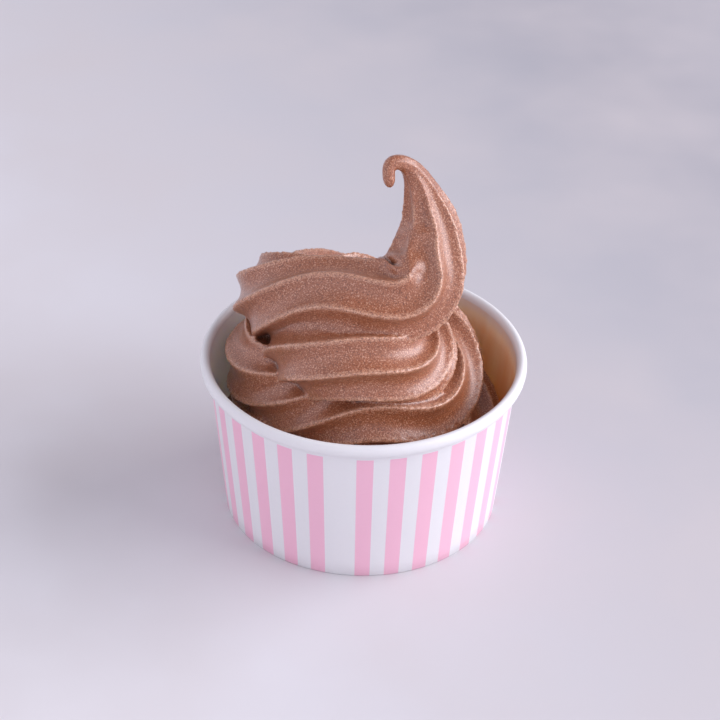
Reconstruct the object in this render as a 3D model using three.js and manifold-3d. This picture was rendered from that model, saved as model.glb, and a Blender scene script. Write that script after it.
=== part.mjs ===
// A paper cup of soft serve: a rolled-rim paper cup, its recessed bottom disc and the swirl that fills it.
// Millimetres, +Z up. The origin is on the table, in the middle of the cup's foot, and -Y is the front.
import * as THREE from 'three';
import { mergeVertices } from 'three/addons/utils/BufferGeometryUtils.js';
import Module from 'manifold-3d';

// --- the cup ---------------------------------------------------------------------------------------
const RIM_RADIUS = 45;                // outside of the rolled rim
const CUP_HEIGHT = 48;                // table to the top of the rolled rim
const ROLL_REACH = 1.43;              // the rim's bead, half of its width
const ROLL_RISE = 1.9;                // and half of its height
const ROLL_START = -0.74 * Math.PI;   // where the bead's underside leaves the wall
const ROLL_STEPS = 10;
const FOOT_RADIUS = 38.3;             // outside of the wall at the table
const PAPER = 0.6;                    // coated paperboard
const HEM_HEIGHT = 4;                 // the wall's lower edge, turned up inside the foot
const DISC_LIFT = 5;                  // table to the underside of the bottom disc
const GAP = 0.3;                      // clearance between pieces that touch
const CUP_SIDES = 64;

// --- the swirl -------------------------------------------------------------------------------------
const ROPE_RADIUS = 12.7;             // to the tips of the star's ridges
const RIDGES = 8;
const FLUTE_DEPTH = 0.21;             // of the rope's radius
const FLUTE_CURVE = 2.2;              // above 1 the ridges are sharp and the flutes round
const POINTS_PER_RIDGE = 4;
const RINGS_PER_STATION = 3;
const STATIONS_PER_LAP = 8;           // back, back left, left, front left, front, front right and so on
const STATIONS_PER_LENGTH = 2;        // the rope is joined from short lengths
const TUCK = 0.9;                     // a length's end is drawn in to this and tucked into its neighbour
const BEND_LIMIT = 0.8;               // the inside of a tight bend bunches up before its centre
const BUNCH_FROM = 0.25;              // rope radius over bend radius where the inner flutes begin to close
const BUNCH_TO = 0.6;                 // and where they are closed
const ROUND_END = 0.35;               // of a station, over which the curl's end is rounded off
const END_SCALE = 0.45;               // the last ring's size, beside its unrounded one
const FIRST_ROLL = 25;                // degrees, of the star about the rope
const FADE_FROM = 0.58;               // of the peak's length, where its flutes begin to smooth out
const FADE_TO = 0.88;                 // and where the rope is round

// Each lap's middle, its reach from there and its height at its stations, and the star's roll beyond one
// turn for each lap, which the rope picks up as it is laid. No lap lies quite true on the one below.
const LAPS = [
  {
    middle: [0, 0],
    reach: [27, 27, 27, 27, 27, 27, 27, 26],
    height: [23, 23, 23, 23, 23.5, 24, 25, 29],
    roll: [99, 99, 99, 99, 99, 99, 99, 99],
  },
  {
    middle: [0, 3],
    reach: [21.5, 24, 26.5, 21.5, 19.5, 20.5, 21.5, 22.5],
    height: [38, 44, 41.5, 40, 39.5, 37.5, 38.5, 42.5],
    roll: [101, 100, 92, 105, 119, 73, 58, 65],
  },
  {
    middle: [-0.5, -6.8],
    reach: [24.5, 18, 14.5, 13.5, 11.5, 12.7, 13.5, 15.5],
    height: [46.5, 50.5, 55, 58, 58.3, 55, 52, 51],
    roll: [69, 72, 70, 59, 33, 13, 24, 32],
  },
  {
    middle: [0, 4.5],
    reach: [13, 18.5, 24, 16.5],
    height: [53, 55.5, 62.5, 69],
    roll: [40, 45, 33, 39],
  },
];

// The peak, from the front of the top lap: the rope is drawn up, thins out and curls over to the left.
const PEAK = [
  { at: [0, -11.2, 70.8], radius: 12.7, roll: 23 },
  { at: [10, -10, 72.5], radius: 12.7, roll: 7 },
  { at: [15, -6, 76.5], radius: 12.4, roll: 16 },
  { at: [16.5, -2, 82], radius: 10.8, roll: 27 },
  { at: [16.5, 1, 88.5], radius: 8.6, roll: 28 },
  { at: [15, 2, 95], radius: 6.3, roll: 26 },
  { at: [13, 2, 101.5], radius: 4, roll: 24 },
  { at: [10, 1, 106.7], radius: 2.4, roll: 32 },
  { at: [5.8, -1, 107.8], radius: 1.8, roll: 38 },
  { at: [5.9, -3.3, 102.2], radius: 1.55, roll: 42 },
];

const FILL_HEIGHT = 24;               // the bottom of the cup is full up to here
const CORE_RADIUS = 20;               // the middle of the swirl, closed up by the laps' own weight
const CORE_SHOULDER = 38;
const CORE_HEIGHT = 62;
const CORE_SIDES = 24;

const paper = new THREE.MeshStandardMaterial({ color: '#f3f0f2', roughness: 0.55, metalness: 0 });
const paperUnder = new THREE.MeshStandardMaterial({ color: '#e9e4e2', roughness: 0.65, metalness: 0 });
const chocolate = new THREE.MeshStandardMaterial({ color: '#9a6f5c', roughness: 0.55, metalness: 0 });

const wasm = await Module();
wasm.setup();

/** The wall's outer radius at a height, on the straight taper from the foot to the rim. */
function outerRadius(z) {
  const underRoll = RIM_RADIUS - 2 * ROLL_REACH + PAPER;
  return FOOT_RADIUS + (underRoll - FOOT_RADIUS) * z / (CUP_HEIGHT - ROLL_RISE);
}

/** The wall's inner radius at a height. */
function innerRadius(z) {
  return outerRadius(z) - PAPER;
}

/** Turns a closed outline of [radius, height] pairs about the cup's axis. */
function turned(outline, sides = CUP_SIDES) {
  const points = outline.map(([r, z]) => new THREE.Vector2(r, z));
  const geometry = new THREE.LatheGeometry(points, sides);
  geometry.rotateX(Math.PI / 2);
  return geometry;
}

/** The tapered wall, with its hem turned up inside the foot and its edge rolled out at the rim. */
function wallGeometry() {
  const [r, z] = [RIM_RADIUS - ROLL_REACH, CUP_HEIGHT - ROLL_RISE];
  const hemInner = innerRadius(0) - 2 * GAP - 2 * PAPER;
  const outline = [[outerRadius(0), 0]];
  for (let i = 0; i <= ROLL_STEPS; i++) {
    const a = THREE.MathUtils.lerp(ROLL_START, Math.PI, i / ROLL_STEPS);
    outline.push([r + ROLL_REACH * Math.cos(a), z + ROLL_RISE * Math.sin(a)]);
  }
  outline.push([innerRadius(DISC_LIFT), DISC_LIFT]);
  outline.push([innerRadius(PAPER), PAPER]);
  outline.push([hemInner + PAPER, PAPER]);
  outline.push([hemInner + PAPER, HEM_HEIGHT]);
  outline.push([hemInner, HEM_HEIGHT]);
  outline.push([hemInner, 0]);
  outline.push(outline[0]);
  return turned(outline);
}

/** The bottom disc, raised off the table, with its skirt held between the wall and the hem. */
function baseGeometry() {
  const skirtOuter = innerRadius(PAPER) - GAP;
  const skirtInner = skirtOuter - PAPER;
  const top = DISC_LIFT + PAPER;
  return turned([
    [0, DISC_LIFT], [skirtInner, DISC_LIFT], [skirtInner, PAPER + GAP],
    [skirtOuter, PAPER + GAP], [skirtOuter, top], [0, top],
  ]);
}

/** A solid from a closed geometry. */
function solid(geometry) {
  const bare = geometry.clone();
  bare.deleteAttribute('normal');
  bare.deleteAttribute('uv');
  const merged = mergeVertices(bare, 1e-4);
  return new wasm.Manifold(new wasm.Mesh({
    numProp: 3,
    vertProperties: new Float32Array(merged.attributes.position.array),
    triVerts: new Uint32Array(merged.index.array),
  }));
}

/** A geometry from a solid. */
function geometryOf(body) {
  const mesh = body.getMesh();
  const geometry = new THREE.BufferGeometry();
  geometry.setAttribute('position', new THREE.BufferAttribute(mesh.vertProperties, 3));
  geometry.setIndex(new THREE.BufferAttribute(mesh.triVerts, 1));
  geometry.computeVertexNormals();
  return geometry;
}

/** The natural cubic spline through evenly spaced values: the returned function reads it anywhere. */
function spline(values) {
  const last = values.length - 1;
  const bend = new Array(last + 1).fill(0);
  const weight = new Array(last + 1).fill(0);
  for (let i = 1; i < last; i++) {
    const change = values[i - 1] - 2 * values[i] + values[i + 1];
    weight[i] = 1 / (4 - weight[i - 1]);
    bend[i] = (6 * change - bend[i - 1]) * weight[i];
  }
  for (let i = last - 1; i > 0; i--) {
    bend[i] -= weight[i] * bend[i + 1];
  }
  return (t) => {
    const i = Math.min(Math.floor(t), last - 1);
    const b = t - i;
    const a = 1 - b;
    const sag = ((a ** 3 - a) * bend[i] + (b ** 3 - b) * bend[i + 1]) / 6;
    return a * values[i] + b * values[i + 1] + sag;
  };
}

/** Every station of the rope, from the bottom of the cup to the curl: place, radius and roll. */
function stations() {
  const all = [];
  LAPS.forEach((lap, n) => {
    lap.reach.forEach((reach, k) => {
      const degrees = 360 * (n - LAPS.length + k / STATIONS_PER_LAP) + 180;
      const a = THREE.MathUtils.degToRad(degrees);
      const at = [lap.middle[0] + reach * Math.sin(a), lap.middle[1] - reach * Math.cos(a), lap.height[k]];
      all.push({ at, radius: ROPE_RADIUS, roll: FIRST_ROLL + degrees + lap.roll[k] });
    });
  });
  return all.concat(PEAK);
}

/** Points along the rope's centre line, each with its frame, radius, roll and the line's curvature. */
function ropeLine(list) {
  const [x, y, z] = [0, 1, 2].map((axis) => spline(list.map((s) => s.at[axis])));
  const radius = spline(list.map((s) => s.radius));
  const roll = spline(list.map((s) => THREE.MathUtils.degToRad(s.roll)));
  const place = (t) => new THREE.Vector3(x(t), y(t), z(t));
  const count = (list.length - 1) * RINGS_PER_STATION;
  const step = 0.02;
  const line = [];
  for (let i = 0; i <= count; i++) {
    const t = THREE.MathUtils.clamp(i / RINGS_PER_STATION, step, list.length - 1 - step);
    const before = place(t - step);
    const here = place(t);
    const after = place(t + step);
    const along = after.clone().sub(before);
    const length = along.length() / 2;
    const curvature = after.clone().add(before).addScaledVector(here, -2).divideScalar(length ** 2);
    line.push({
      at: place(i / RINGS_PER_STATION), along: along.normalize(), curvature,
      radius: radius(i / RINGS_PER_STATION), roll: roll(i / RINGS_PER_STATION),
    });
  }
  return line;
}

/** Gives each point of the line an outward direction that turns with the line and never twists. */
function addFrames(line, from) {
  const up = new THREE.Vector3(0, 0, 1);
  const carry = (i, outward) => {
    const along = line[i].along;
    line[i].outward = outward.clone().addScaledVector(along, -outward.dot(along)).normalize();
    line[i].upward = new THREE.Vector3().crossVectors(line[i].outward, along);
  };
  carry(from, new THREE.Vector3().crossVectors(line[from].along, up));
  for (let i = from + 1; i < line.length; i++) {
    carry(i, line[i - 1].outward);
  }
  for (let i = from - 1; i >= 0; i--) {
    carry(i, line[i + 1].outward);
  }
}

/** How far the star's outline is drawn in, from 0 on a ridge to 1 in the middle of a flute. */
function fluteAt(angle) {
  const turn = angle * RIDGES / (2 * Math.PI);
  const fromRidge = 2 * Math.abs(turn - Math.round(turn));
  return 1 - (1 - fromRidge) ** FLUTE_CURVE;
}

/** One ring of the rope's star section, drawn in by a scale. */
function ring(point, flutes, scale) {
  const sides = RIDGES * POINTS_PER_RIDGE;
  const out = [];
  for (let k = 0; k < sides; k++) {
    const angle = 2 * Math.PI * k / sides;
    const a = angle + point.roll;
    const way = point.outward.clone().multiplyScalar(Math.cos(a)).addScaledVector(point.upward, Math.sin(a));
    const inward = point.curvature.dot(way);
    const open = 1 - THREE.MathUtils.smoothstep(inward * point.radius, BUNCH_FROM, BUNCH_TO);
    const free = point.radius * (1 - flutes * fluteAt(angle) * open);
    const tightness = Math.max(inward / BEND_LIMIT, 1e-6);
    const r = (free ** -6 + tightness ** 6) ** (-1 / 6);
    out.push(point.at.clone().addScaledVector(way, scale * r));
  }
  return out;
}

/** Skins a row of rings into a closed solid with a flat end at each side. */
function skinned(rings) {
  const sides = rings[0].length;
  const position = rings.flat().flatMap((p) => [p.x, p.y, p.z]);
  const index = [];
  for (let i = 0; i + 1 < rings.length; i++) {
    for (let k = 0; k < sides; k++) {
      const a = i * sides + k;
      const b = i * sides + (k + 1) % sides;
      index.push(a, a + sides, b, b, a + sides, b + sides);
    }
  }
  const ends = [0, rings.length - 1];
  ends.forEach((i, isLast) => {
    const middle = position.length / 3;
    const centre = rings[i].reduce((sum, p) => sum.add(p), new THREE.Vector3()).divideScalar(sides);
    position.push(centre.x, centre.y, centre.z);
    for (let k = 0; k < sides; k++) {
      const a = i * sides + k;
      const b = i * sides + (k + 1) % sides;
      index.push(...(isLast ? [b, a, middle] : [a, b, middle]));
    }
  });
  const geometry = new THREE.BufferGeometry();
  geometry.setAttribute('position', new THREE.Float32BufferAttribute(position, 3));
  geometry.setIndex(index);
  return geometry;
}

/** The whole rope, as short lengths that are tucked into each other. */
function ropeSolids() {
  const list = stations();
  const line = ropeLine(list);
  const coilEnd = list.length - PEAK.length;
  addFrames(line, coilEnd * RINGS_PER_STATION);
  const flutesAt = (i) => {
    const past = (i / RINGS_PER_STATION - coilEnd) / (PEAK.length - 1);
    return FLUTE_DEPTH * THREE.MathUtils.clamp((FADE_TO - past) / (FADE_TO - FADE_FROM), 0, 1);
  };
  const scaleAt = (i, from, to) => {
    const past = 1 - (line.length - 1 - i) / RINGS_PER_STATION / ROUND_END;
    const rounded = past > 0 ? Math.max(Math.sqrt(1 - past ** 2), END_SCALE) : 1;
    return i < from || i > to ? TUCK : rounded;
  };
  const perLength = STATIONS_PER_LENGTH * RINGS_PER_STATION;
  const solids = [];
  for (let first = 0; first + 1 < line.length; first += perLength) {
    const last = Math.min(first + perLength, line.length - 1);
    const rings = [];
    for (let i = Math.max(first - 1, 0); i <= Math.min(last + 1, line.length - 1); i++) {
      rings.push(ring(line[i], flutesAt(i), scaleAt(i, first, last)));
    }
    solids.push(solid(skinned(rings)));
  }
  return solids;
}

/** A solid's outer skin: pockets sealed inside it are filled. */
function outerSkin(body) {
  return body.decompose().reduce((largest, skin) => (skin.volume() > largest.volume() ? skin : largest));
}

/** The swirl as one solid: laps, fill and core, kept inside the cup's wall. */
function swirlGeometry() {
  const floor = DISC_LIFT + PAPER + GAP;
  const fillRadius = (z) => innerRadius(z) - GAP;
  const fill = solid(turned([
    [0, floor], [fillRadius(floor), floor], [fillRadius(FILL_HEIGHT), FILL_HEIGHT], [0, FILL_HEIGHT],
  ]));
  const core = solid(turned([
    [0, floor], [CORE_RADIUS, floor], [CORE_RADIUS, CORE_SHOULDER], [0, CORE_HEIGHT],
  ], CORE_SIDES));
  const mould = solid(turned([
    [0, floor], [fillRadius(floor), floor], [fillRadius(CUP_HEIGHT), CUP_HEIGHT],
    [RIM_RADIUS, CUP_HEIGHT + GAP], [RIM_RADIUS, 3 * CUP_HEIGHT], [0, 3 * CUP_HEIGHT],
  ]));
  const swirl = ropeSolids().reduce((sum, length) => sum.add(length), fill.add(core));
  return geometryOf(outerSkin(swirl.intersect(mould)));
}

const cup = new THREE.Group();

const wall = new THREE.Mesh(wallGeometry(), paper);
wall.name = 'cup_wall';
cup.add(wall);

const base = new THREE.Mesh(baseGeometry(), paperUnder);
base.name = 'cup_base';
cup.add(base);

const swirl = new THREE.Mesh(swirlGeometry(), chocolate);
swirl.name = 'soft_serve';
cup.add(swirl);

export default cup;
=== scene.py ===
"""A paper cup of chocolate soft serve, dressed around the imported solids.

The frame's units are metres, +Z up, with the origin on the table in the middle of the cup's foot and the
front towards -Y. Sizes are given in millimetres and turned to metres where they're used.
"""

import logging
import math
from dataclasses import dataclass
from enum import Enum

import bpy
import numpy as np
from mathutils import Matrix, Vector, kdtree, noise

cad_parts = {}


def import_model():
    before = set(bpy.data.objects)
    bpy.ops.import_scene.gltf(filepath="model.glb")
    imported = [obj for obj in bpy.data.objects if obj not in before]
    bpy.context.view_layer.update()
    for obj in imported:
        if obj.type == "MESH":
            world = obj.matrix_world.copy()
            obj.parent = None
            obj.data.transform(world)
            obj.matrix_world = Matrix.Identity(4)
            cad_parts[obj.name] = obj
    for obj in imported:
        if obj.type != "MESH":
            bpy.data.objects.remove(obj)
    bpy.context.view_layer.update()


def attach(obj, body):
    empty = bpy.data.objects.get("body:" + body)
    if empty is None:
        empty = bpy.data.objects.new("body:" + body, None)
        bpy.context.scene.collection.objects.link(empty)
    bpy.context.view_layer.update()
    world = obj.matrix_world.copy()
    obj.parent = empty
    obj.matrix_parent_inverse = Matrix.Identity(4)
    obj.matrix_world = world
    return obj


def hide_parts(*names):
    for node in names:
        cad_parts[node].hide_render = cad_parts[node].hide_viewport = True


MM = 0.001
TINY = 1e-6  # keeps a divisor off zero
Faces = list[tuple[int, ...]]
Outline = list[tuple[float, float]]
Place = tuple[float, float, float]
log = logging.getLogger("ice_cream_cup")


class Slot(Enum):
    """The record's material slots."""

    CUP = "cup_paper"
    BASE = "base_paper"
    SOFT_SERVE = "chocolate_soft_serve"


class Node(Enum):
    """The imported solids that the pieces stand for."""

    WALL = "cup_wall"
    BASE = "cup_base"
    SOFT_SERVE = "soft_serve"


# --- helpers -------------------------------------------------------------------------------------------


def linear(hex_colour: str) -> tuple[float, float, float, float]:
    """Turns an sRGB hex colour to linear light.

    Args:
        hex_colour: six hex digits after a hash sign.

    Returns:
        Red, green, blue and an alpha of 1.
    """
    parts = [int(hex_colour[i : i + 2], 16) / 255 for i in (1, 3, 5)]
    return (*(c / 12.92 if c <= 0.04045 else ((c + 0.055) / 1.055) ** 2.4 for c in parts), 1.0)


def per_metre(size: float) -> float:
    """A texture's scale, which is how many of its marks, of a size in mm, go into a metre."""
    return 1 / (size * MM)


def add_node(tree: bpy.types.NodeTree, kind: str, inputs: dict | None = None,
             **settings: object) -> bpy.types.Node:
    """Adds a node with its settings and links.

    Args:
        tree: the material's or the world's node tree.
        kind: the node's type, without its ShaderNode prefix.
        inputs: socket name or number to a value, or to the output socket that feeds it.
        settings: the node's own attributes.

    Returns:
        The new node.
    """
    node = tree.nodes.new("ShaderNode" + kind)
    for name, value in settings.items():
        setattr(node, name, value)
    for key, value in (inputs or {}).items():
        if isinstance(value, bpy.types.NodeSocket):
            tree.links.new(value, node.inputs[key])
        else:
            node.inputs[key].default_value = value
    return node


def new_material(name: str) -> tuple[bpy.types.Material, bpy.types.NodeTree]:
    """Makes an empty node material.

    Args:
        name: the material's name.

    Returns:
        The material and its node tree.
    """
    material = bpy.data.materials.new(name)
    material.use_nodes = True
    material.node_tree.nodes.clear()
    return material, material.node_tree


def new_piece(name: str, points: np.ndarray, faces: Faces, smooth: bool = True) -> bpy.types.Object:
    """Makes a mesh object from points and faces.

    Args:
        name: the piece's name.
        points: one row of x, y and z in metres for each vertex.
        faces: tuples of vertex numbers.
        smooth: whether the faces are shaded smooth.

    Returns:
        The object, linked to the scene.
    """
    mesh = bpy.data.meshes.new(name)
    mesh.from_pydata(points.tolist(), [], faces)
    mesh.validate()
    mesh.polygons.foreach_set("use_smooth", [smooth] * len(mesh.polygons))
    piece = bpy.data.objects.new(name, mesh)
    bpy.context.scene.collection.objects.link(piece)
    return piece


def even_turn(sides: int) -> np.ndarray:
    """Evenly spaced angles in degrees, for one whole turn from the front."""
    return np.arange(sides) * 360 / sides


def turned(outline: Outline, degrees: np.ndarray) -> tuple[np.ndarray, Faces]:
    """Turns a closed outline about the cup's axis, or an open one whose ends are on it.

    Args:
        outline: rows of radius and height in mm, anticlockwise with the radius to the right.
        degrees: the angles of the turn's steps, from the front towards the right.

    Returns:
        Points in metres, and faces: a row of them for each side of the outline.
    """
    sides = len(degrees)
    angles = np.radians(degrees)
    points, place = [], []
    for r, z in outline:
        if r == 0:
            place.append([len(points)] * sides)
            points.append((0, 0, z))
        else:
            place.append(list(range(len(points), len(points) + sides)))
            points += [(r * math.sin(a), -r * math.cos(a), z) for a in angles]
    faces = []
    closed = all(r > 0 for r, _ in outline)
    for i in range(len(outline) if closed else len(outline) - 1):
        here, there = place[i], place[(i + 1) % len(outline)]
        for k in range(sides):
            n = (k + 1) % sides
            corners = [here[k], here[n], there[n], there[k]]
            faces.append(tuple(dict.fromkeys(corners)))
    return np.array(points) * MM, faces


def arc(centre: tuple[float, float], reach: tuple[float, float], start: float, end: float,
        steps: int) -> Outline:
    """Points along a round or oval arc.

    Args:
        centre: its radius and height in the outline.
        reach: half of its width and half of its height.
        start: the first angle in degrees, from the outward direction towards up.
        end: the last angle.
        steps: how many steps are between them.

    Returns:
        Rows of radius and height.
    """
    angles = np.radians(np.linspace(start, end, steps + 1))
    return [(centre[0] + reach[0] * math.cos(a), centre[1] + reach[1] * math.sin(a)) for a in angles]


# --- finishes ------------------------------------------------------------------------------------------


@dataclass(frozen=True)
class CupPaper:
    """Cup board: bleached paperboard, printed offset and coated with polyethylene.

    The film gives a soft satin gloss over white fibres, and the ink lies under it, so that stripes and
    ground shine alike.
    """

    name: str
    colour: str
    shade: str
    roughness: float = 0.38
    fibre: float = 1.11
    """Size in mm of the mottle that the fibres make. One fibre alone is too thin to show."""
    cloud: float = 16.7
    """Size in mm of the board's uneven patches."""
    relief: float = 0.05
    """How far the fibres stand out under the film, in mm."""
    glow: float = 0.6
    """How far light spreads in the board, in mm."""

    def make(self) -> bpy.types.Material:
        """Builds the board in this finish's colour.

        Returns:
            The material.
        """
        material, tree = new_material(self.name)
        place = add_node(tree, "TexCoord").outputs["Object"]
        fibre = add_node(tree, "TexNoise", {
            "Vector": place, "Scale": per_metre(self.fibre), "Detail": 3.0,
        }).outputs["Fac"]
        cloud = add_node(tree, "TexNoise", {
            "Vector": place, "Scale": per_metre(self.cloud), "Detail": 2.0,
        }).outputs["Fac"]
        mottle = add_node(tree, "MixRGB", {0: 0.5, 1: fibre, 2: cloud}).outputs[0]
        colour = add_node(tree, "MixRGB", {0: mottle, 1: linear(self.colour), 2: linear(self.shade)})
        bump = add_node(tree, "Bump", {"Strength": 0.12, "Distance": self.relief * MM, "Height": fibre})
        shader = add_node(tree, "BsdfPrincipled", {
            "Base Color": colour.outputs[0], "Roughness": self.roughness, "IOR": 1.5,
            "Subsurface Weight": 0.15, "Subsurface Radius": (1.0, 0.9, 0.85),
            "Subsurface Scale": self.glow * MM, "Normal": bump.outputs[0],
        })
        add_node(tree, "OutputMaterial", {"Surface": shader.outputs[0]})
        return material


WHITE_BOARD = CupPaper("coated_cup_paper_white", "#e5e5e7", "#e0e0e3")
PINK_PRINT = CupPaper("coated_cup_paper_pink_print", "#f0bdd1", "#ecb7cc")


@dataclass(frozen=True)
class PlainPaper:
    """Bottom board: the same coated paperboard, unprinted. It is duller, with its fibres just showing."""

    white: str = "#e8e6e6"
    shade: str = "#dedad8"
    roughness: float = 0.5
    fibre: float = 1.25
    """Size in mm of the mottle that the fibres make. One fibre alone is too thin to show."""
    relief: float = 0.05
    """How far the fibres stand out, in mm."""

    def make(self) -> bpy.types.Material:
        """Builds the unprinted paper.

        Returns:
            The material.
        """
        material, tree = new_material("coated_cup_paper_plain")
        place = add_node(tree, "TexCoord").outputs["Object"]
        fibre = add_node(tree, "TexNoise", {
            "Vector": place, "Scale": per_metre(self.fibre), "Detail": 4.0,
        }).outputs["Fac"]
        colour = add_node(tree, "MixRGB", {0: fibre, 1: linear(self.white), 2: linear(self.shade)})
        bump = add_node(tree, "Bump", {"Strength": 0.2, "Distance": self.relief * MM, "Height": fibre})
        shader = add_node(tree, "BsdfPrincipled", {
            "Base Color": colour.outputs[0], "Roughness": self.roughness, "IOR": 1.5,
            "Normal": bump.outputs[0],
        })
        add_node(tree, "OutputMaterial", {"Surface": shader.outputs[0]})
        return material


@dataclass(frozen=True)
class MeltAndPaintedBouncePaper:
    """Inner side of the board: white film, browned on the right partly by melted soft serve and partly by
    painted shade.

    The brown is partly a thin melt stain in streaks and partly painted shade, lit brown by the soft serve
    where the wall faces away from the window. It is strongest on the right and lower down, and it hardly
    shows on the left. The board is thin enough to glow a little, and warmly, where the light is behind it.
    """

    white: str = "#eceaea"
    # The brown of the melt stain and of the painted shade on the wall's right side, which the soft serve
    # lights brown.
    melt_and_bounce: str = "#dfb683"
    roughness: float = 0.35
    streak: float = 6.25
    """Width in mm of the melt's streaks."""
    drawn_out: float = 0.18
    """The pattern's scale upwards as a part of that around the wall, which draws it out into streaks."""
    across: tuple[float, float] = (-10.0, 35.0)
    # Where the melt stain and painted shade begin, and where they are full, in mm to the right of the cup's
    # axis.
    """Where the film begins and where it is full, in mm to the right of the cup's axis."""
    heights: tuple[float, float] = (47.0, 40.0)
    # Where the brown is weakest, near the rim, and where it is strongest, in mm.
    """Where the film is thinnest, near the rim, and where it is thickest, in mm."""
    parts: tuple[float, float] = (0.3, 0.9)
    # How much of the brown shows at those two heights.
    """How much of the melt's colour shows at those two heights."""
    glow: float = 1.2
    """How far light spreads in the board, in mm."""

    def make(self) -> bpy.types.Material:
        """Builds the board with the melt on it.

        Returns:
            The material.
        """
        material, tree = new_material("coated_cup_paper_melt_and_painted_bounce")
        place = add_node(tree, "TexCoord").outputs["Object"]
        stretched = add_node(tree, "VectorMath", {
            0: place, 1: (1.0, 1.0, self.drawn_out),
        }, operation="MULTIPLY")
        streaks = add_node(tree, "TexNoise", {
            "Vector": stretched.outputs[0], "Scale": per_metre(self.streak), "Detail": 3.0,
        })
        axes = add_node(tree, "SeparateXYZ", {0: place})
        # Mask of the brown: full on the right and low down. It is partly melt stain and partly painted shade.
        right = add_node(tree, "MapRange", {
            "Value": axes.outputs["X"],
            "From Min": self.across[0] * MM, "From Max": self.across[1] * MM, "To Max": 1.0,
        })
        low = add_node(tree, "MapRange", {
            "Value": axes.outputs["Z"],
            "From Min": self.heights[0] * MM, "From Max": self.heights[1] * MM,
            "To Min": self.parts[0], "To Max": self.parts[1],
        })
        patch = add_node(tree, "MapRange", {
            "Value": streaks.outputs["Fac"], "From Min": 0.3, "From Max": 0.62, "To Min": 0.7, "To Max": 1.0,
        })
        melt_and_bounce_part = add_node(tree, "Math", {0: right.outputs[0], 1: low.outputs[0]}, operation="MULTIPLY")
        melt_and_bounce_part = add_node(tree, "Math", {0: melt_and_bounce_part.outputs[0], 1: patch.outputs[0]}, operation="MULTIPLY")
        colour = add_node(tree, "MixRGB", {0: melt_and_bounce_part.outputs[0], 1: linear(self.white), 2: linear(self.melt_and_bounce)})
        shader = add_node(tree, "BsdfPrincipled", {
            "Base Color": colour.outputs[0], "Roughness": self.roughness, "IOR": 1.5,
            "Subsurface Weight": 0.6, "Subsurface Radius": (1.0, 0.88, 0.7),
            "Subsurface Scale": self.glow * MM,
        })
        add_node(tree, "OutputMaterial", {"Surface": shader.outputs[0]})
        return material


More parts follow.
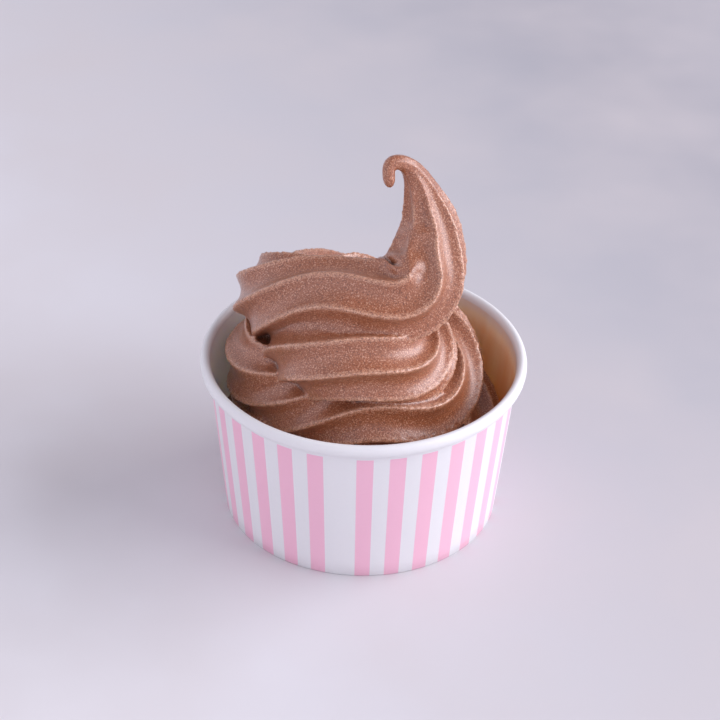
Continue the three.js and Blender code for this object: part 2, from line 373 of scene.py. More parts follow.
@dataclass(frozen=True)
class ChocolateSoftServe:
    """Soft serve: milk chocolate mix, whipped with air and frozen, then pressed through a star nozzle.

    Fat and air bubbles scatter the light just under the skin, so it is soft and pale for a chocolate. Ice
    crystals and burst bubbles make a fine sandy grain, which breaks its wet highlights up into specks, and
    the sharp ridges, which dry and freeze first, are paler than the flutes.
    """

    body: str = "#a8623c"
    shade: str = "#935330"
    ridge: str = "#dcac8f"
    # Painted shade: the colour that darkens the narrow crevices, where shade falls.
    painted_crevice_shade: str = "#5e2f1c"
    speck_light: str = "#e6bfa8"
    speck_dark: str = "#6e4030"
    roughness: float = 0.4
    cloud: float = 9.1
    """Size in mm of the patches that shade the body."""
    grain: float = 0.38
    """Size in mm of the ice grain. The real grain is about half as large, too fine to show."""
    relief: float = 0.13
    """How far the grain stands out, in mm."""
    fine_grain: float = 0.2
    """Size in mm of the burst bubbles."""
    fine_relief: float = 0.06
    """How deep they are, in mm."""
    frosted: tuple[float, float] = (0.8, 1.0)
    """How near to a ridge the frost begins, and is whitest."""
    frost: float = 0.55
    """How much of the ridges' colour shows there."""
    light: tuple[float, float] = (0.54, 0.68)
    """The grain's values where a pale speck begins, and is palest."""
    dark: tuple[float, float] = (0.5, 0.34)
    """The grain's values where a dark speck begins, and is darkest."""
    glow: float = 1.4
    """How far light spreads under the skin, in mm."""

    def make(self) -> bpy.types.Material:
        """Builds the soft serve.

        Returns:
            The material.
        """
        material, tree = new_material("chocolate_soft_serve_frozen")
        place = add_node(tree, "TexCoord").outputs["Object"]
        cloud = add_node(tree, "TexNoise", {
            "Vector": place, "Scale": per_metre(self.cloud), "Detail": 3.0,
        })
        grain = add_node(tree, "TexNoise", {
            "Vector": place, "Scale": per_metre(self.grain), "Detail": 2.0, "Roughness": 0.7,
        }).outputs["Fac"]
        fine = add_node(tree, "TexNoise", {
            "Vector": place, "Scale": per_metre(self.fine_grain), "Detail": 1.0,
        })
        base = add_node(tree, "MixRGB", {
            0: cloud.outputs["Fac"], 1: linear(self.body), 2: linear(self.shade),
        })
        ridge = add_node(tree, "Attribute", attribute_name="ridge")
        frost = add_node(tree, "MapRange", {
            "Value": ridge.outputs["Fac"],
            "From Min": self.frosted[0], "From Max": self.frosted[1], "To Max": self.frost,
        })
        edged = add_node(tree, "MixRGB", {0: frost.outputs[0], 1: base.outputs[0], 2: linear(self.ridge)})
        # Painted shade: crevices are darkened towards the crevice colour by how deep they lie.
        crevice_shade = add_node(tree, "Attribute", attribute_name="crevice_shade")
        crevice_shaded = add_node(tree, "MixRGB", {
            0: crevice_shade.outputs["Fac"], 1: edged.outputs[0], 2: linear(self.painted_crevice_shade),
        })
        light = add_node(tree, "MapRange", {
            "Value": grain, "From Min": self.light[0], "From Max": self.light[1], "To Max": 0.6,
        })
        specked = add_node(tree, "MixRGB", {
            0: light.outputs[0], 1: crevice_shaded.outputs[0], 2: linear(self.speck_light),
        })
        dark = add_node(tree, "MapRange", {
            "Value": grain, "From Min": self.dark[0], "From Max": self.dark[1], "To Max": 0.95,
        })
        pitted = add_node(tree, "MixRGB", {
            0: dark.outputs[0], 1: specked.outputs[0], 2: linear(self.speck_dark),
        })
        coarse_bump = add_node(tree, "Bump", {
            "Strength": 0.85, "Distance": self.relief * MM, "Height": grain,
        })
        bump = add_node(tree, "Bump", {
            "Strength": 0.6, "Distance": self.fine_relief * MM, "Height": fine.outputs["Fac"],
            "Normal": coarse_bump.outputs[0],
        })
        shader = add_node(tree, "BsdfPrincipled", {
            "Base Color": pitted.outputs[0], "Roughness": self.roughness, "IOR": 1.5,
            "Coat Weight": 0.85, "Coat Roughness": 0.32, "Coat IOR": 1.5,
            "Subsurface Weight": 0.15, "Subsurface Radius": (1.0, 0.55, 0.4),
            "Subsurface Scale": self.glow * MM, "Normal": bump.outputs[0],
        })
        add_node(tree, "OutputMaterial", {"Surface": shader.outputs[0]})
        return material


@dataclass(frozen=True)
class TableTop:
    """Table: a smooth board with matt lacquer, pale lilac grey and a little cloudy, with painted light at the
    near left and painted shade towards the far right.
    """

    # Painted light and shade: lighter at the near left and darker at the far right, as the light falls on the
    # table.
    painted_light_near_left: str = "#e5e4e8"
    painted_shade_far_right: str = "#a8a8b0"
    cloud: str = "#cfc9ca"
    roughness: float = 0.55
    cloud_size: float = 71.5
    """Size in mm of the cloudy patches."""
    painted_shade_way: Place = (0.9, 0.45, 0.0)
    # The direction in which the table's painted shade deepens.
    """The direction in which the table's tone falls."""
    painted_shade_span: tuple[float, float] = (-120.0, 200.0)
    # How far along it the painted shade begins and is full, in mm from the middle of the cup.
    """How far along it the fall begins and ends, in mm from the middle of the cup."""

    def make(self) -> bpy.types.Material:
        """Builds the table's lacquer.

        Returns:
            The material.
        """
        material, tree = new_material("matt_lacquer_table")
        place = add_node(tree, "TexCoord").outputs["Object"]
        along = add_node(tree, "VectorMath", {0: place, 1: self.painted_shade_way}, operation="DOT_PRODUCT")
        side = add_node(tree, "MapRange", {
            "Value": along.outputs["Value"], "From Min": self.painted_shade_span[0] * MM, "From Max": self.painted_shade_span[1] * MM,
        })
        # Painted light and shade: the table's tone falls from the near left to the far right.
        painted_light_tone = add_node(tree, "MixRGB", {
            0: side.outputs[0], 1: linear(self.painted_light_near_left), 2: linear(self.painted_shade_far_right),
        })
        clouds = add_node(tree, "TexNoise", {
            "Vector": place, "Scale": per_metre(self.cloud_size), "Detail": 3.0,
        })
        patch = add_node(tree, "MapRange", {
            "Value": clouds.outputs["Fac"], "From Min": 0.35, "From Max": 0.7, "To Max": 0.5,
        })
        colour = add_node(tree, "MixRGB", {0: patch.outputs[0], 1: painted_light_tone.outputs[0], 2: linear(self.cloud)})
        shader = add_node(tree, "BsdfPrincipled", {
            "Base Color": colour.outputs[0], "Roughness": self.roughness,
        })
        add_node(tree, "OutputMaterial", {"Surface": shader.outputs[0]})
        return material


# --- the cup -------------------------------------------------------------------------------------------


@dataclass(frozen=True)
class CupShape:
    """The paper cup's sizes in mm, which its wall, its bottom and the soft serve inside share."""

    rim_radius: float = 45.0
    """Out to the edge of the rolled rim."""
    height: float = 48.0
    roll_reach: float = 1.43
    """Half of the roll's width."""
    roll_rise: float = 1.9
    """Half of its height."""
    foot_radius: float = 38.3
    paper: float = 0.6
    """The board's thickness, which is about 0.35 in a real cup."""
    hem_height: float = 4.0
    """How high the wall's hem is turned up inside the foot."""
    disc_lift: float = 5.0
    """How high the bottom disc's underside is above the table."""
    gap: float = 0.3
    """Between one board and the next in the foot."""

    def taper(self) -> float:
        """How far the wall leans out for each mm of height."""
        under_roll = self.rim_radius - 2 * self.roll_reach + self.paper
        return (under_roll - self.foot_radius) / (self.height - self.roll_rise)

    def outer(self, z: float | np.ndarray) -> float | np.ndarray:
        """The wall's outer radius at a height."""
        return self.foot_radius + self.taper() * z

    def inner(self, z: float | np.ndarray) -> float | np.ndarray:
        """The wall's inner radius at a height."""
        return self.outer(z) - self.paper


@dataclass(frozen=True)
class StripePrint:
    """The upright stripes, in degrees from the front towards the right: 29 of them and two wide gaps."""

    pitch: float = 12.0
    """From one stripe's start to the next one's."""
    stripe: float = 6.1
    """Each stripe's width."""
    steps: int = 4
    """How many steps of the turn each stripe and each gap between two stripes takes."""
    first_right: float = -1.6
    """Where the first stripe to the right of the front's wide gap starts."""
    first_left: float = -19.8
    """Where the first stripe to the left of it starts."""
    count_right: int = 15
    count_left: int = 14
    top: float = 42.4
    """Height in mm where the stripes end."""
    seam: tuple[float, ...] = (174.2, 175.4, 175.5, 177.5, 179.5, 181.5)
    """Steps in the back's wide gap: the glued lap's cut edge is between the second and the third."""
    lap_thickness: float = 0.35
    """How far the glued lap's edge stands out, in mm."""

    def layout(self) -> tuple[np.ndarray, list[bool]]:
        """Lays the turn's steps out so that every stripe's edge falls on one.

        Returns:
            The angles in degrees, and for each step whether it is printed.
        """
        gap = self.pitch - self.stripe
        back_left = 360 + self.first_left - self.pitch * (self.count_left - 1)
        angles, printed = [], []
        for first, count in ((self.first_right, self.count_right), (back_left, self.count_left)):
            for n in range(count):
                start = first + n * self.pitch
                angles += list(start + np.arange(self.steps) * self.stripe / self.steps)
                printed += [True] * self.steps
                if n < count - 1:
                    angles += list(start + self.stripe + np.arange(self.steps) * gap / self.steps)
                    printed += [False] * self.steps
            angles.append(start + self.stripe)
            printed.append(False)
            if first == self.first_right:
                angles += self.seam
                printed += [False] * len(self.seam)
        front_gap = (self.first_right + 360 - angles[-1]) / (2 * self.steps)
        angles += list(angles[-1] + np.arange(1, 2 * self.steps) * front_gap)
        printed += [False] * (2 * self.steps - 1)
        return np.array(angles), printed

    def lap(self, degrees: np.ndarray) -> np.ndarray:
        """How far the glued lap stands out at each angle, in mm."""
        fall = np.linspace(1, 0, len(self.seam) - 2)
        return np.interp(degrees, self.seam[1:], (0, *fall)) * self.lap_thickness


class WallFace(Enum):
    """What a face of the wall is covered with, as a place in the mesh's list of materials."""

    PLAIN = 0
    PRINTED = 1
    INNER = 2


@dataclass
class CupWall:
    """The tapered paper wall, with its rolled rim and the hem that is turned up inside the foot."""

    cup: CupShape
    stripes: StripePrint
    roll_steps: int = 20
    roll_from: float = -133.0
    """Where the roll leaves the wall's outer side, in degrees from the outward direction."""
    roll_to: float = 180.0
    """Where it comes down to the inner side."""
    inner_drop: float = 1.5
    """How far under the roll's middle the straight inner side starts, in mm."""
    rows: int = 10
    """How many rows of faces the printed part has, and the inner side too."""
    plain_rows: int = 3
    """How many rows of faces are between the stripes' tops and the roll."""
    bevel: float = 0.25
    """Size in mm of the small slants at the foot's edges."""

    def build(self, board: CupPaper, ink: CupPaper, inside: MeltAndPaintedBouncePaper) -> bpy.types.Object:
        """Builds and dresses the wall.

        Args:
            board: the unprinted board.
            ink: the board where it is printed.
            inside: the board's inner side.

        Returns:
            The piece.
        """
        degrees, printed = self.stripes.layout()
        outline, printed_rows, inner_row = self._outline()
        points, faces = turned(outline, degrees)
        steps = len(degrees)
        outside = points[: (printed_rows + 1) * steps]
        reach = np.hypot(outside[:, 0], outside[:, 1])
        lap = np.tile(self.stripes.lap(degrees), printed_rows + 1) * MM
        outside[:, :2] *= (1 + lap / reach)[:, None]
        wall = new_piece("cup_wall_printed", points, faces)
        for finish in (board, ink, inside):
            wall.data.materials.append(finish.make())
        worn = np.full(len(faces), WallFace.PLAIN.value)
        worn[np.flatnonzero(np.tile(printed, printed_rows))] = WallFace.PRINTED.value
        worn[inner_row * steps : (inner_row + self.rows) * steps] = WallFace.INNER.value
        wall.data.polygons.foreach_set("material_index", worn)
        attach(wall, "root")
        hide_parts(Node.WALL.value)
        return wall

    def _outline(self) -> tuple[Outline, int, int]:
        """Draws the wall's section, up its outer side, around the rim and down the inner side to the hem.

        Returns:
            Rows of radius and height in mm, how many of the rows of faces are printed, and the number of
            the row where the inner side starts.
        """
        cup = self.cup
        centre = (cup.rim_radius - cup.roll_reach, cup.height - cup.roll_rise)
        reach = (cup.roll_reach, cup.roll_rise)
        bead = arc(centre, reach, self.roll_from, self.roll_to, self.roll_steps)
        hem_inner = cup.inner(0) - 2 * cup.gap - 2 * cup.paper
        hem_outer = hem_inner + cup.paper
        outline = [(cup.outer(0) - self.bevel, 0)]
        outline += [(cup.outer(z), z) for z in np.linspace(self.bevel, self.stripes.top, self.rows)]
        printed_rows = len(outline) - 1
        plain = np.linspace(self.stripes.top, bead[0][1], self.plain_rows + 1)[1:-1]
        outline += [(cup.outer(z), z) for z in plain]
        outline += bead
        inner_row = len(outline) - 1
        inner_top = centre[1] - self.inner_drop
        outline += [(cup.inner(z), z) for z in np.linspace(inner_top, cup.paper, self.rows)]
        outline += [(hem_outer, cup.paper), (hem_outer, cup.hem_height)]
        outline += [(hem_inner, cup.hem_height), (hem_inner, self.bevel), (hem_inner + self.bevel, 0)]
        return outline, printed_rows, inner_row


@dataclass
class CupBottom:
    """The raised bottom disc with its skirt, held between the wall and the hem."""

    cup: CupShape
    sides: int = 192
    fold: float = 0.4
    """Radius in mm of the fold between the disc and its skirt."""
    fold_steps: int = 4

    def build(self, paper: PlainPaper) -> bpy.types.Object:
        """Builds and dresses the bottom.

        Args:
            paper: the unprinted board.

        Returns:
            The piece.
        """
        cup, fold = self.cup, self.fold
        skirt_outer = cup.inner(cup.paper) - cup.gap
        skirt_inner = skirt_outer - cup.paper
        foot = cup.paper + cup.gap
        top = cup.disc_lift + cup.paper
        outline = [(0, cup.disc_lift), (skirt_inner - fold, cup.disc_lift)]
        inner_fold = (skirt_inner - fold, cup.disc_lift - fold)
        outline += arc(inner_fold, (fold, fold), 90, 0, self.fold_steps)[1:]
        outline += [(skirt_inner, foot), (skirt_outer, foot), (skirt_outer, top - fold)]
        outline += arc((skirt_outer - fold, top - fold), (fold, fold), 0, 90, self.fold_steps)[1:]
        outline += [(0, top)]
        points, faces = turned(outline, even_turn(self.sides))
        bottom = new_piece("cup_bottom_disc", points, faces, smooth=False)
        bottom.data.materials.append(paper.make())
        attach(bottom, "root")
        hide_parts(Node.BASE.value)
        return bottom


# --- the swirl -----------------------------------------------------------------------------------------


@dataclass(frozen=True)
class Lap:
    """One lap of the rope, read at each eighth of a turn, from the back."""

    middle: tuple[float, float]
    """Where the lap is centred, in mm from the cup's axis: no lap lies quite true on the one below."""
    reach: tuple[float, ...]
    """How far the rope's own middle is from there, in mm."""
    height: tuple[float, ...]
    """How high it is above the table, in mm."""
    roll: tuple[float, ...]
    """The star's roll in degrees, beyond one turn for each lap, which the rope picks up as it's laid."""


@dataclass(frozen=True)
class PeakStation:
    """A place on the peak: position and radius in mm, and the star's roll in degrees."""

    at: Place
    radius: float
    roll: float


STOPS_PER_LAP = 8
BACK = 180  # the cup's back, in degrees from its front
LAPS = (
    Lap(middle=(0, 0),
        reach=(27, 27, 27, 27, 27, 27, 27, 26),
        height=(23, 23, 23, 23, 23.5, 24, 25, 29),
        roll=(99, 99, 99, 99, 99, 99, 99, 99)),
    Lap(middle=(0, 3),
        reach=(21.5, 24, 26.5, 21.5, 19.5, 20.5, 21.5, 22.5),
        height=(38, 44, 41.5, 40, 39.5, 37.5, 38.5, 42.5),
        roll=(101, 100, 92, 105, 119, 73, 58, 65)),
    Lap(middle=(-0.5, -6.8),
        reach=(24.5, 18, 14.5, 13.5, 11.5, 12.7, 13.5, 15.5),
        height=(46.5, 50.5, 55, 58, 58.3, 55, 52, 51),
        roll=(69, 72, 70, 59, 33, 13, 24, 32)),
    Lap(middle=(0, 4.5),
        reach=(13, 18.5, 24, 16.5),
        height=(53, 55.5, 62.5, 69),
        roll=(40, 45, 33, 39)),
)
PEAK = (
    PeakStation((0, -11.2, 70.8), 12.7, 23),
    PeakStation((10, -10, 72.5), 12.7, 7),
    PeakStation((15, -6, 76.5), 12.4, 16),
    PeakStation((16.5, -2, 82), 10.8, 27),
    PeakStation((16.5, 1, 88.5), 8.6, 28),
    PeakStation((15, 2, 95), 6.3, 26),
    PeakStation((13, 2, 101.5), 4, 24),
    PeakStation((10, 1, 106.7), 2.4, 32),
    PeakStation((5.8, -1, 107.8), 1.8, 38),
    PeakStation((5.9, -3.3, 102.2), 1.55, 42),
)


def natural_spline(values: np.ndarray, at: np.ndarray) -> np.ndarray:
    """Reads the natural cubic spline through evenly spaced rows of values.

    Args:
        values: one row for each whole number.
        at: where to read it.

    Returns:
        One row for each place.
    """
    count = len(values)
    system = np.diag(np.full(count, 4.0)) + np.diag(np.ones(count - 1), 1) + np.diag(np.ones(count - 1), -1)
    system[0], system[-1] = 0, 0
    system[0, 0] = system[-1, -1] = 1
    change = np.zeros_like(values)
    change[1:-1] = 6 * (values[:-2] - 2 * values[1:-1] + values[2:])
    bend = np.linalg.solve(system, change)
    i = np.minimum(at.astype(int), count - 2)
    b = (at - i)[:, None]
    a = 1 - b
    return a * values[i] + b * values[i + 1] + ((a**3 - a) * bend[i] + (b**3 - b) * bend[i + 1]) / 6


def smooth_step(value: np.ndarray, low: float, high: float) -> np.ndarray:
    """Rises smoothly from 0 at a low value to 1 at a high one.

    Args:
        value: the values.
        low: where the rise starts.
        high: where it ends.

    Returns:
        One number from 0 to 1 for each value.
    """
    part = np.clip((value - low) / (high - low), 0, 1)
    return part * part * (3 - 2 * part)


@dataclass
class Swirl:
    """The rope of soft serve: an eight-ridged star swept along the laps and drawn up into the peak."""

    cup: CupShape
    rope_radius: float = 12.7
    ridges: int = 8
    flute_depth: float = 0.21
    """How deep the flutes are, as a part of the rope's radius."""
    flute_curve: float = 2.2
    """How steeply a flute falls away from its ridge, where 1 is an even slope to its middle."""
    ridge_round: float = 0.06
    """How blunt a ridge's edge is, as a part of the way to the flute's middle."""
    first_roll: float = 25.0
    """The star's roll in degrees where the lap's own is nought."""
    slope_step: float = 0.02
    """How far to each side the line's direction and bend are read, in stations."""
    bend_limit: float = 0.8
    """How much of a bend's radius the rope fills at most, as it bunches up on the bend's inner side."""
    bend_blend: int = 6
    """How suddenly the rope's own outline gives way to that limit."""
    bunching: tuple[float, float] = (0.25, 0.6)
    """How tight a bend smooths its inner flutes, from a little to wholly, as rope radius over bend radius."""
    round_end: float = 0.35
    """Over how much of the last station's stretch the tip rounds off."""
    blunt_end: float = 0.99
    """How far it has rounded off where it is closed."""
    fade_from: float = 0.58
    """The part of the peak's length where its flutes start to fade."""
    fade_to: float = 0.88
    """The part of it where they have gone."""
    clearance: float = 0.05
    """How far the soft serve stays off the board, in mm."""
    fill_height: float = 24.0
    """How high the cup is filled under the laps, in mm."""
    core_radius: float = 20.0
    """The closed-up middle of the swirl is a drum of this radius, in mm."""
    core_shoulder: float = 38.0
    """How high the drum's edge is."""
    core_height: float = 62.0
    """How high the cone on it is."""
    filling_sides: int = 96
    points_per_ridge: int = 14
    rings_per_station: int = 16
    voxel: float = 0.44
    """Size in mm of the squares of the merged skin."""
    crumb_size: float = 1.1
    crumb_height: float = 0.26
    """How long the ridges' ragged bits are, and how far they stand out or in, in mm."""
    crumb_from: float = 0.6
    """How near to a ridge its edge starts to be ragged, which is most on the ridge itself."""
    crevice_reach: int = 8
    """How many rounds of smoothing a crevice is measured against."""
    crevice_shade_depth: tuple[float, float] = (0.11, 0.34)
    # How far under the smoothed skin a crevice's painted shade begins and is darkest, in mm.
    """How far under the smoothed skin a crevice starts to darken and is darkest, in mm."""

    def build(self, finish: ChocolateSoftServe) -> bpy.types.Object:
        """Builds and dresses the soft serve as one closed mesh.

        Args:
            finish: the soft serve.

        Returns:
            The piece.
        """
        rope, faces, ridge = self._sweep()
        around = even_turn(self.filling_sides)
        parts = [(rope, faces)] + [turned(outline, around) for outline in self._filling()]
        points, all_faces = [], []
        for part_points, part_faces in parts:
            start = sum(len(p) for p in points)
            points.append(part_points)
            all_faces += [tuple(v + start for v in f) for f in part_faces]
        swirl = new_piece("soft_serve_swirl", np.vstack(points), all_faces)
        self._merge(swirl)
        self._mark_ridges(swirl, rope, ridge)
        self._crumble(swirl)
        self._press_into_cup(swirl)
        self._mark_crevice_shade(swirl)
        swirl.data.materials.clear()
        swirl.data.materials.append(finish.make())
        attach(swirl, "root")
        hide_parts(Node.SOFT_SERVE.value)
        return swirl

    def _stations(self) -> np.ndarray:
        """Every station of the rope, from the bottom of the cup to the curl.

        Returns:
            Rows of x, y, z and radius in mm and roll in radians.
        """
        rows = []
        for n, lap in enumerate(LAPS):
            for k, (reach, height, roll) in enumerate(zip(lap.reach, lap.height, lap.roll)):
                degrees = 360 * (n - len(LAPS) + k / STOPS_PER_LAP) + BACK
                a = math.radians(degrees)
                x, y = lap.middle[0] + reach * math.sin(a), lap.middle[1] - reach * math.cos(a)
                rows.append((x, y, height, self.rope_radius, math.radians(self.first_roll + degrees + roll)))
        rows += [(*p.at, p.radius, math.radians(p.roll)) for p in PEAK]
        return np.array(rows)

    def _sweep(self) -> tuple[np.ndarray, Faces, np.ndarray]:
        """Sweeps the star along the rope's centre line.

        Returns:
            Points in metres, faces, and for each point how near it is to a standing ridge, from 0 to 1.
        """
        stations = self._stations()
        coil_end = len(stations) - len(PEAK)
        at = np.arange((len(stations) - 1) * self.rings_per_station + 1) / self.rings_per_station
        line = natural_spline(stations, at)
        step = self.slope_step
        inner = np.clip(at, step, at[-1] - step)
        before, here, after = (natural_spline(stations[:, :3], inner + d) for d in (-step, 0, step))
        half = np.linalg.norm(after - before, axis=1, keepdims=True) / 2
        along = (after - before) / (2 * half)
        bend = (after + before - 2 * here) / half**2
        outward = self._carried(along, coil_end * self.rings_per_station)
        upward = np.cross(outward, along)

        sides = self.ridges * self.points_per_ridge
        turn = np.arange(sides) / sides
        from_ridge = 2 * np.abs(turn * self.ridges - np.round(turn * self.ridges))
        soft = self.ridge_round
        from_ridge = (np.sqrt(from_ridge**2 + soft**2) - soft) / (math.sqrt(1 + soft**2) - soft)
        fluted = 1 - (1 - from_ridge) ** self.flute_curve
        past = (at - coil_end) / (len(PEAK) - 1)
        depth = self.flute_depth * np.clip((self.fade_to - past) / (self.fade_to - self.fade_from), 0, 1)
        angle = 2 * np.pi * turn[None, :] + line[:, 4:5]
        way = np.cos(angle)[..., None] * outward[:, None, :] + np.sin(angle)[..., None] * upward[:, None, :]
        inward = np.einsum("nj,nkj->nk", bend, way)
        open_part = 1 - smooth_step(inward * line[:, 3:4], *self.bunching)
        free = line[:, 3:4] * (1 - depth[:, None] * fluted[None, :] * open_part)
        tight = np.maximum(inward / self.bend_limit, TINY)
        held = (free**-self.bend_blend + tight**self.bend_blend) ** (-1 / self.bend_blend)
        cap = np.clip((at - at[-1] + self.round_end) / self.round_end, 0, self.blunt_end)
        reach = held * np.sqrt(1 - cap**2)[:, None]
        rings = line[:, None, :3] + reach[..., None] * way

        count = len(at)
        points = np.vstack([rings.reshape(-1, 3), rings[0].mean(0), rings[-1].mean(0)])
        faces = []
        for i in range(count - 1):
            for k in range(sides):
                n = (k + 1) % sides
                a, b, c, d = i * sides + k, i * sides + n, (i + 1) * sides + n, (i + 1) * sides + k
                faces.append((a, d, c, b))
        for k in range(sides):
            n = (k + 1) % sides
            faces.append((k, n, count * sides))
            faces.append(((count - 1) * sides + n, (count - 1) * sides + k, count * sides + 1))
        standing = depth[:, None] / self.flute_depth * open_part
        ridge = np.append(((1 - from_ridge) * standing).ravel(), [0, 0])
        return points * MM, faces, ridge

    def _carried(self, along: np.ndarray, start: int) -> np.ndarray:
        """Carries an outward direction along the line without twisting it.

        Args:
            along: the line's direction at each ring.
            start: the ring where outward is level with the table.

        Returns:
            The outward direction at each ring.
        """
        outward = np.zeros_like(along)

        def carry(i: int, last: np.ndarray) -> None:
            """Turns the last ring's direction to stand across the line here."""
            square = last - along[i] * (last @ along[i])
            outward[i] = square / np.linalg.norm(square)

        carry(start, np.cross(along[start], (0, 0, 1)))
        for i in range(start + 1, len(along)):
            carry(i, outward[i - 1])
        for i in range(start - 1, -1, -1):
            carry(i, outward[i + 1])
        return outward

    def _filling(self) -> list[Outline]:
        """Outlines of the fill at the bottom of the cup and of the closed-up middle of the swirl.

        Returns:
            Two outlines of radius and height in mm.
        """
        cup = self.cup
        floor = cup.disc_lift + cup.paper + self.clearance
        fill = [(0, floor), (cup.inner(floor), floor), (cup.inner(self.fill_height), self.fill_height),
                (0, self.fill_height)]
        core = [(0, floor), (self.core_radius, floor), (self.core_radius, self.core_shoulder),
                (0, self.core_height)]
        return [fill, core]

    def _merge(self, swirl: bpy.types.Object) -> None:
        """Makes one closed skin of the rope, the fill and the core.

        Args:
            swirl: the piece with all three in it.
        """
        modifier = swirl.modifiers.new("skin", "REMESH")
        modifier.mode = "VOXEL"
        modifier.voxel_size = self.voxel * MM
        modifier.use_smooth_shade = True
        evaluated = swirl.evaluated_get(bpy.context.evaluated_depsgraph_get())
        mesh = bpy.data.meshes.new_from_object(evaluated)
        swirl.modifiers.clear()
        swirl.data = mesh

    def _press_into_cup(self, swirl: bpy.types.Object) -> None:
        """Flattens what would stand through the cup's wall against it.

        Args:
            swirl: the merged piece.
        """
        cup = self.cup
        count = len(swirl.data.vertices)
        points = np.empty(count * 3)
        swirl.data.vertices.foreach_get("co", points)
        points = points.reshape(-1, 3) / MM
        inside = points[:, 2] < cup.height - cup.roll_rise
        limit = cup.inner(points[:, 2]) - self.clearance
        reach = np.hypot(points[:, 0], points[:, 1])
        scale = np.where(inside & (reach > limit), limit / np.maximum(reach, TINY), 1.0)
        points[:, :2] *= scale[:, None]
        swirl.data.vertices.foreach_set("co", (points * MM).ravel())
        swirl.data.update()

    def _mark_ridges(self, swirl: bpy.types.Object, rope: np.ndarray, ridge: np.ndarray) -> None:
        """Writes each vertex's nearness to a ridge into an attribute for the material.

        Args:
            swirl: the merged piece.
            rope: the swept rope's points.
            ridge: their nearness to a ridge.
        """
        tree = kdtree.KDTree(len(rope))
        for i, point in enumerate(rope):
            tree.insert(point, i)
        tree.balance()
        values = [ridge[tree.find(v.co)[1]] for v in swirl.data.vertices]
        attribute = swirl.data.attributes.new("ridge", "FLOAT", "POINT")
        attribute.data.foreach_set("value", values)

    def _crumble(self, swirl: bpy.types.Object) -> None:
        """Makes the ridges' edges a little ragged, as they tear when the nozzle lays them.

        Args:
            swirl: the merged piece, with its ridges marked.
        """
        marks = swirl.data.attributes["ridge"].data
        moves = []
        for vertex, mark in zip(swirl.data.vertices, marks):
            part = max(mark.value - self.crumb_from, 0) / (1 - self.crumb_from)
            height = part * noise.noise(vertex.co / (self.crumb_size * MM)) * self.crumb_height * MM
            moves.append(vertex.normal * height)
        for vertex, move in zip(swirl.data.vertices, moves):
            vertex.co += move
        swirl.data.update()

    def _mark_crevice_shade(self, swirl: bpy.types.Object) -> None:
        """Writes how deep each vertex lies in a narrow crevice, from 0 to 1, into an attribute, which the
        material paints as shade.

        Args:
            swirl: the merged piece.
        """
        mesh = swirl.data
        points, normals = np.empty(len(mesh.vertices) * 3), np.empty(len(mesh.vertices) * 3)
        mesh.vertices.foreach_get("co", points)
        mesh.vertex_normals.foreach_get("vector", normals)
        edges = np.empty(len(mesh.edges) * 2, dtype=int)
        mesh.edges.foreach_get("vertices", edges)
        first, second = edges.reshape(-1, 2).T
        count = len(mesh.vertices)
        links = np.maximum(np.bincount(edges, minlength=count), 1)

        def spread(values: np.ndarray) -> np.ndarray:
            """Gives every vertex the mean of its neighbours' values."""
            total = np.bincount(first, values[second], count) + np.bincount(second, values[first], count)
            return total / links

        depth = np.zeros(count)
        for axis in range(3):
            smoothed = points[axis::3] / MM
            for _ in range(self.crevice_reach):
                smoothed = spread(smoothed)
            depth += (smoothed - points[axis::3] / MM) * normals[axis::3]
        crevice_shade = smooth_step(spread(spread(depth)), *self.crevice_shade_depth)
        attribute = mesh.attributes.new("crevice_shade", "FLOAT", "POINT")
        attribute.data.foreach_set("value", crevice_shade)


# --- the stage -----------------------------------------------------------------------------------------


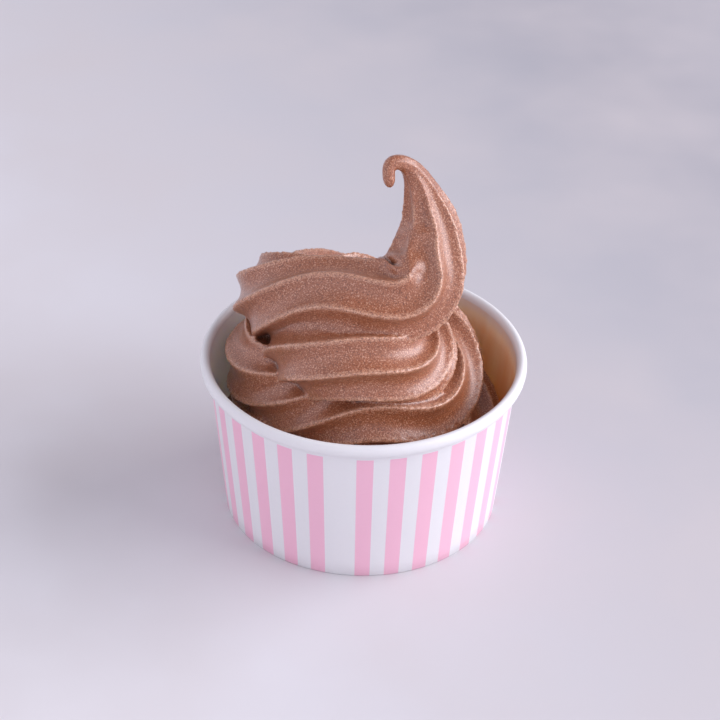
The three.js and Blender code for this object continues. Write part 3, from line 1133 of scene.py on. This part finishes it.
@dataclass
class Studio:
    """The table, the soft light and the camera at the photograph's angle, with sizes in mm."""

    lens: float = 120.26
    sensor: float = 36.0
    camera_at: Place = (0.0, -547.18, 419.31)
    right: Place = (0.9997085, 0.01480912, 0.01906856)
    """The direction that is to the right in the picture."""
    up: Place = (-0.02409923, 0.56412761, 0.82533585)
    """The direction that is up in it."""
    sight: float = 20.0
    """How far the camera sees, in metres."""
    table_size: float = 3000.0
    aim: Place = (0.0, 0.0, 50.0)
    """What the window's light faces."""

    def build(self, table_top: TableTop) -> None:
        """Builds the stage.

        Args:
            table_top: the table's finish.
        """
        self._table(table_top)
        self._light("window", at=(1500, 60, 760), size=(2000, 1100), watts=41.0, colour="#fbf8ff")
        self._world(colour="#f6f2ff", toward=(-0.55, -0.4, -0.73), shaded=0.28, bright=1.7)
        self._camera()

    def _table(self, table_top: TableTop) -> None:
        """Lays the table.

        Args:
            table_top: its finish.
        """
        half = self.table_size / 2 * MM
        corners = np.array([(-half, -half, 0), (half, -half, 0), (half, half, 0), (-half, half, 0)])
        table = new_piece("table_top", corners, [(0, 1, 2, 3)], smooth=False)
        table.data.materials.append(table_top.make())

    def _light(self, name: str, at: Place, size: tuple[float, float], watts: float, colour: str) -> None:
        """Hangs a soft oblong light that faces the swirl.

        Args:
            name: the light's name.
            at: its place in mm.
            size: its width and height in mm.
            watts: its power.
            colour: its sRGB colour.
        """
        data = bpy.data.lights.new(name, "AREA")
        data.shape = "RECTANGLE"
        data.size, data.size_y = size[0] * MM, size[1] * MM
        data.energy = watts
        data.color = linear(colour)[:3]
        light = bpy.data.objects.new(name, data)
        bpy.context.scene.collection.objects.link(light)
        light.location = Vector(at) * MM
        light.rotation_euler = (Vector(self.aim) - Vector(at)).to_track_quat("-Z", "Y").to_euler()

    def _world(self, colour: str, toward: Place, shaded: float, bright: float) -> None:
        """Fills the room with soft light, strongest low on the front left, as from pale walls there.

        Args:
            colour: the light's sRGB colour.
            toward: the direction of the brightest part.
            shaded: the strength on the opposite side.
            bright: the strength in that direction.
        """
        world = bpy.data.worlds.new("studio")
        world.use_nodes = True
        tree = world.node_tree
        tree.nodes.clear()
        way = add_node(tree, "TexCoord").outputs["Generated"]
        facing = add_node(tree, "VectorMath", {
            0: way, 1: Vector(toward).normalized(),
        }, operation="DOT_PRODUCT")
        strength = add_node(tree, "MapRange", {
            "Value": facing.outputs["Value"], "From Min": -1.0, "From Max": 1.0,
            "To Min": shaded, "To Max": bright,
        })
        background = add_node(tree, "Background", {"Color": linear(colour), "Strength": strength.outputs[0]})
        add_node(tree, "OutputWorld", {"Surface": background.outputs[0]})
        bpy.context.scene.world = world

    def _camera(self) -> None:
        """Sets the camera up."""
        data = bpy.data.cameras.new("camera")
        data.lens = self.lens
        data.sensor_width = self.sensor
        data.clip_end = self.sight
        camera = bpy.data.objects.new("camera", data)
        bpy.context.scene.collection.objects.link(camera)
        right, up = Vector(self.right), Vector(self.up)
        back = right.cross(up)
        turn = Matrix((right, up, back)).transposed().to_4x4()
        camera.matrix_world = Matrix.Translation(Vector(self.camera_at) * MM) @ turn
        bpy.context.scene.camera = camera
        bpy.context.scene.view_settings.view_transform = "Standard"


def report(piece: bpy.types.Object) -> None:
    """Logs a piece's name, face count and size."""
    size = " x ".join(f"{d / MM:.1f}" for d in piece.dimensions)
    log.info("%s: %d faces, %s mm", piece.name, len(piece.data.polygons), size)


def main() -> None:
    """Builds the cup, the soft serve and the stage."""
    logging.basicConfig(level=logging.INFO, format="%(name)s: %(message)s")
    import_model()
    cup = CupShape()
    report(CupBottom(cup).build(PlainPaper()))
    report(CupWall(cup, StripePrint()).build(WHITE_BOARD, PINK_PRINT, MeltAndPaintedBouncePaper()))
    report(Swirl(cup).build(ChocolateSoftServe()))
    Studio().build(TableTop())


if __name__ == "__main__":
    main()
